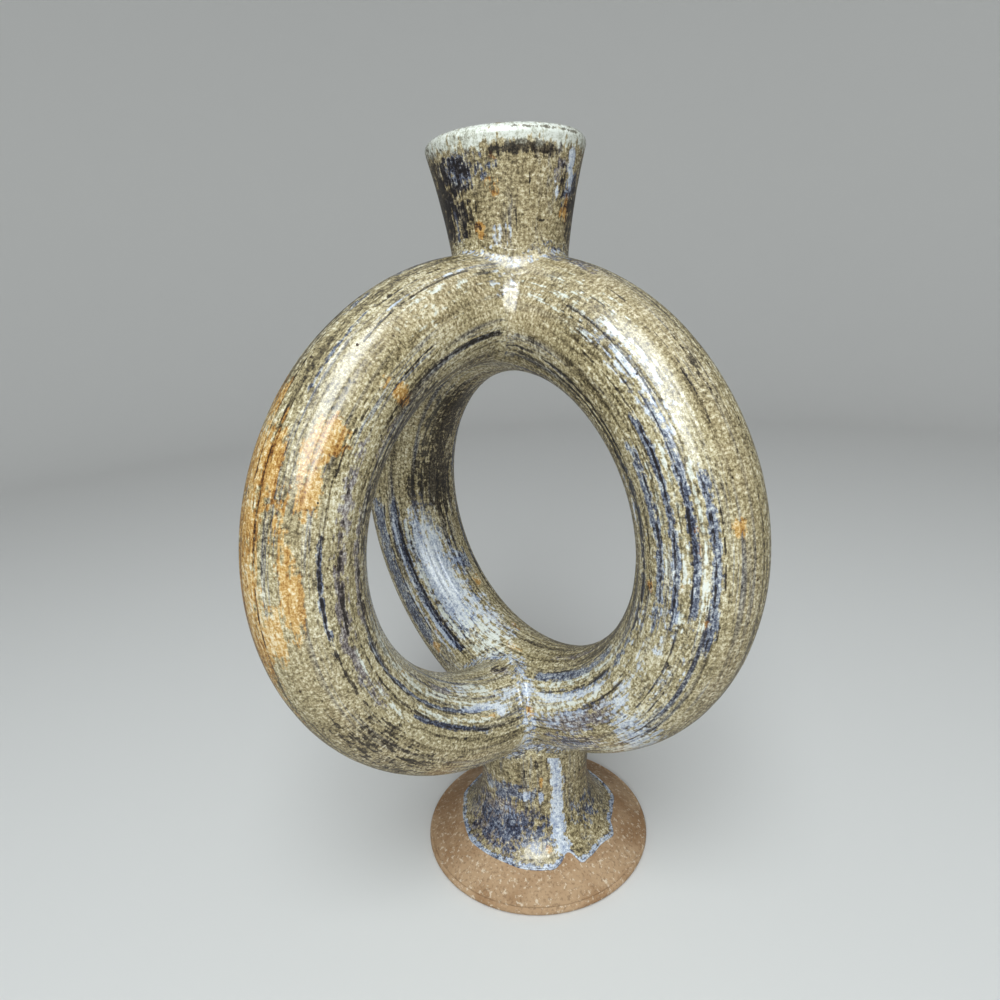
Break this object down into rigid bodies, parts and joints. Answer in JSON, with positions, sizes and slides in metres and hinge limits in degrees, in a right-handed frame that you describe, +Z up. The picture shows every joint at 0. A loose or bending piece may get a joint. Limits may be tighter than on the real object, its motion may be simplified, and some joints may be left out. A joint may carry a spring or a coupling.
{
  "type": "donut vase",
  "caption": "Stoneware flower vase made of a thrown donut standing on edge, a half donut square to it, a flared neck and a trumpet foot.",
  "frame": {"origin": "centre of the foot's resting ring, on the axis of the neck and foot", "axes": "+Z up along the axis of the neck and foot; the whole donut stands in the XZ plane; the half donut stands out towards -Y"},
  "size_m": [0.204, 0.1709, 0.3],
  "materials": {
    "glazed_stoneware": "glossy speckled khaki ash glaze with slate-blue streaks along the throwing lines",
    "foot_stoneware": "mottled slate glaze over the stem that ends in a run edge on a bare tan clay flange"
  },
  "bodies": {
    "root": {"ring_front": "glazed_stoneware", "ring_back": "glazed_stoneware", "half_ring_right": "glazed_stoneware", "half_ring_left": "glazed_stoneware", "neck": "glazed_stoneware", "foot": "foot_stoneware", "neck_coil": "glazed_stoneware", "foot_coil": "glazed_stoneware", "upper_seam_coil": "glazed_stoneware", "lower_seam_coil": "glazed_stoneware"}
  },
  "joints": []
}
